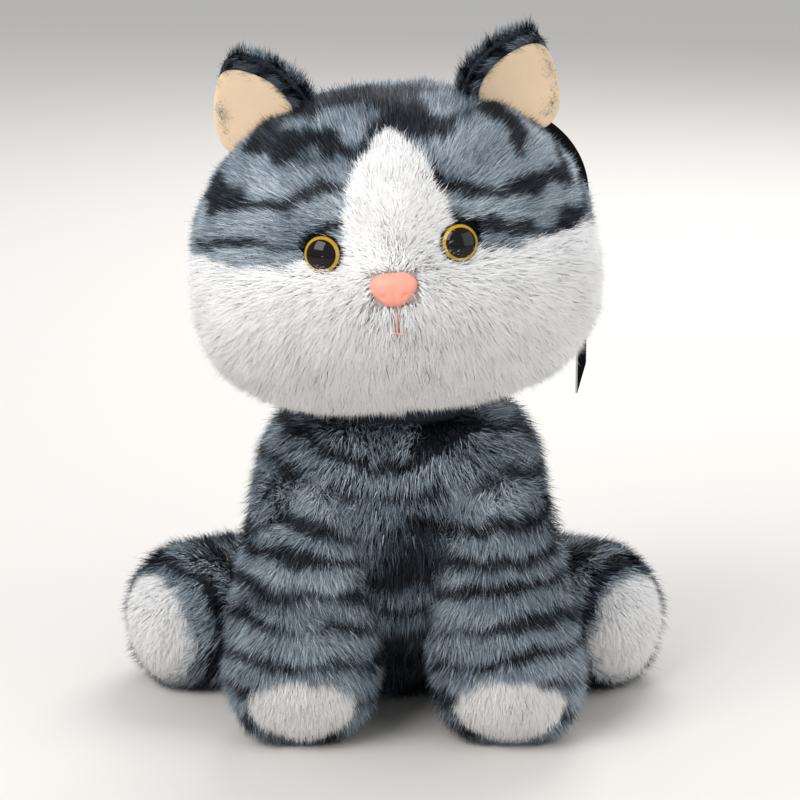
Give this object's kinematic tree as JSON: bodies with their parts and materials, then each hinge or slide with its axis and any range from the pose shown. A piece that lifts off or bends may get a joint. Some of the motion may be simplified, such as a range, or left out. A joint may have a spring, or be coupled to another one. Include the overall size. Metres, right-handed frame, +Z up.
{
  "type": "plush cat",
  "caption": "Sitting stuffed toy cat of sewn tabby fur panels with white muzzle and paws, plastic eyes and nose, posable head, ears, legs and tail, and a hang tag.",
  "frame": {"origin": "on the flat seat, under the torso, where the toy rests on a table", "axes": "+Z up, the cat faces -Y, its own left side is +X"},
  "size_m": [0.222, 0.2625, 0.2799],
  "materials": {
    "tabby_fur": "matte",
    "white_fur": "matte",
    "beige_velour": "matte",
    "fibre_filling": "matte",
    "eye_plastic": "gloss",
    "nose_plastic": "satin",
    "lock_washer": "matte",
    "pink_thread": "matte",
    "grey_thread": "matte",
    "satin_label": "satin",
    "black_card": "satin",
    "clear_loop": "gloss"
  },
  "bodies": {
    "torso": {"seat_panel": "tabby_fur", "chest_panel": "tabby_fur", "back_panel_left": "tabby_fur", "back_panel_right": "tabby_fur", "torso_stuffing": "fibre_filling", "closing_stitches": "grey_thread", "care_label": "satin_label"},
    "neck": {"neck_sleeve": "tabby_fur"},
    "head": {"muzzle_panel": "white_fur", "blaze_panel": "white_fur", "forehead_panel_left": "tabby_fur", "forehead_panel_right": "tabby_fur", "head_back_panel_left": "tabby_fur", "head_back_panel_right": "tabby_fur", "head_stuffing": "fibre_filling", "eye_left": "eye_plastic", "eye_right": "eye_plastic", "eye_washer_left": "lock_washer", "eye_washer_right": "lock_washer", "nose": "nose_plastic", "nose_washer": "lock_washer", "mouth_stitch": "pink_thread"},
    "tail_root": {"tail_seam": "tabby_fur"},
    "tail": {"tail_skin": "tabby_fur", "tail_stuffing": "fibre_filling"},
    "hang_tag": {"hang_tag_card": "black_card", "hang_tag_loop": "clear_loop"},
    "ear_left": {"ear_back_left": "tabby_fur", "ear_lining_left": "beige_velour"},
    "front_leg_left": {"front_leg_front_panel_left": "tabby_fur", "front_leg_back_panel_left": "tabby_fur", "front_paw_patch_left": "white_fur", "front_leg_stuffing_left": "fibre_filling"},
    "hind_leg_left": {"hind_leg_upper_panel_left": "tabby_fur", "hind_leg_lower_panel_left": "tabby_fur", "hind_sole_patch_left": "white_fur", "hind_leg_stuffing_left": "fibre_filling"},
    "ear_right": {"ear_back_right": "tabby_fur", "ear_lining_right": "beige_velour"},
    "front_leg_right": {"front_leg_front_panel_right": "tabby_fur", "front_leg_back_panel_right": "tabby_fur", "front_paw_patch_right": "white_fur", "front_leg_stuffing_right": "fibre_filling"},
    "hind_leg_right": {"hind_leg_upper_panel_right": "tabby_fur", "hind_leg_lower_panel_right": "tabby_fur", "hind_sole_patch_right": "white_fur", "hind_leg_stuffing_right": "fibre_filling"}
  },
  "joints": [
    {"name": "head_turn", "type": "hinge", "parent": "torso", "child": "neck", "pos_m": [-0.0025, -0.032, 0.14], "axis": [0, 0, 1], "range_deg": [-30, 30], "stiffness_Nm_per_rad": 0.5},
    {"name": "head_nod", "type": "hinge", "parent": "neck", "child": "head", "pos_m": [-0.0025, -0.032, 0.14], "axis": [1, 0, 0], "range_deg": [-8, 8], "stiffness_Nm_per_rad": 1.2},
    {"name": "tail_swing", "type": "hinge", "parent": "torso", "child": "tail_root", "pos_m": [0, 0.0785, 0.014], "axis": [0, 0, 1], "range_deg": [-25, 25], "stiffness_Nm_per_rad": 0.05},
    {"name": "tail_lift", "type": "hinge", "parent": "tail_root", "child": "tail", "pos_m": [0, 0.0785, 0.014], "axis": [1, 0, 0], "range_deg": [0, 20], "stiffness_Nm_per_rad": 0.05},
    {"name": "hang_tag_swing", "type": "hinge", "parent": "head", "child": "hang_tag", "pos_m": [0.044, 0.004, 0.23], "axis": [0, -1, 0], "range_deg": [0, 50]},
    {"name": "ear_fold_left", "type": "hinge", "parent": "head", "child": "ear_left", "pos_m": [0.04326, -0.03, 0.24868], "axis": [0.806, 0.4831, -0.3421], "range_deg": [-15, 15], "stiffness_Nm_per_rad": 0.03},
    {"name": "front_leg_swing_left", "type": "hinge", "parent": "torso", "child": "front_leg_left", "pos_m": [0.034, -0.044, 0.09], "axis": [-1, 0, 0], "range_deg": [-4, 30], "stiffness_Nm_per_rad": 0.4},
    {"name": "hind_leg_spread_left", "type": "hinge", "parent": "torso", "child": "hind_leg_left", "pos_m": [0.058, 0.032, 0.028], "axis": [0, 0, 1], "range_deg": [-12, 12], "stiffness_Nm_per_rad": 0.4},
    {"name": "ear_fold_right", "type": "hinge", "parent": "head", "child": "ear_right", "pos_m": [-0.05636, -0.03, 0.23997], "axis": [0.7343, -0.4831, 0.4769], "range_deg": [-15, 15], "stiffness_Nm_per_rad": 0.03},
    {"name": "front_leg_swing_right", "type": "hinge", "parent": "torso", "child": "front_leg_right", "pos_m": [-0.034, -0.044, 0.09], "axis": [-1, 0, 0], "range_deg": [-4, 30], "stiffness_Nm_per_rad": 0.4},
    {"name": "hind_leg_spread_right", "type": "hinge", "parent": "torso", "child": "hind_leg_right", "pos_m": [-0.06, 0.032, 0.028], "axis": [0, 0, 1], "range_deg": [-12, 12], "stiffness_Nm_per_rad": 0.4}
  ]
}
